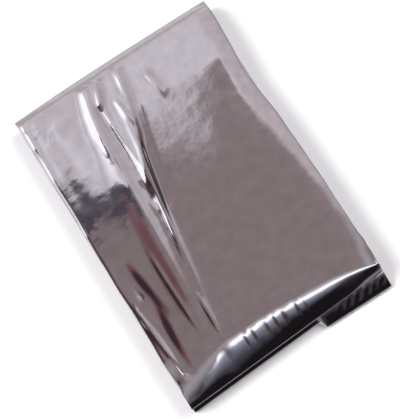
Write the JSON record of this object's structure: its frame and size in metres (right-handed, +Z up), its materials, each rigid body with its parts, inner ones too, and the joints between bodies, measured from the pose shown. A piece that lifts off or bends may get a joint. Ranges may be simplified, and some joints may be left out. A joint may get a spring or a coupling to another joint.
{
  "type": "emergency foil blanket, folded",
  "caption": "Emergency blanket of metallised film, folded back and forth into a flat pocket-size pack that lies on its back.",
  "frame": {"origin": "under the middle of the folded pack, on the surface that it lies on", "axes": "+Z up, +Y along the pack towards its wrapped far end, +X across the pack to the right"},
  "size_m": [0.082, 0.1262, 0.0135],
  "materials": {
    "foil": "polished"
  },
  "bodies": {
    "root": {"foil_blanket": "foil"}
  },
  "joints": []
}
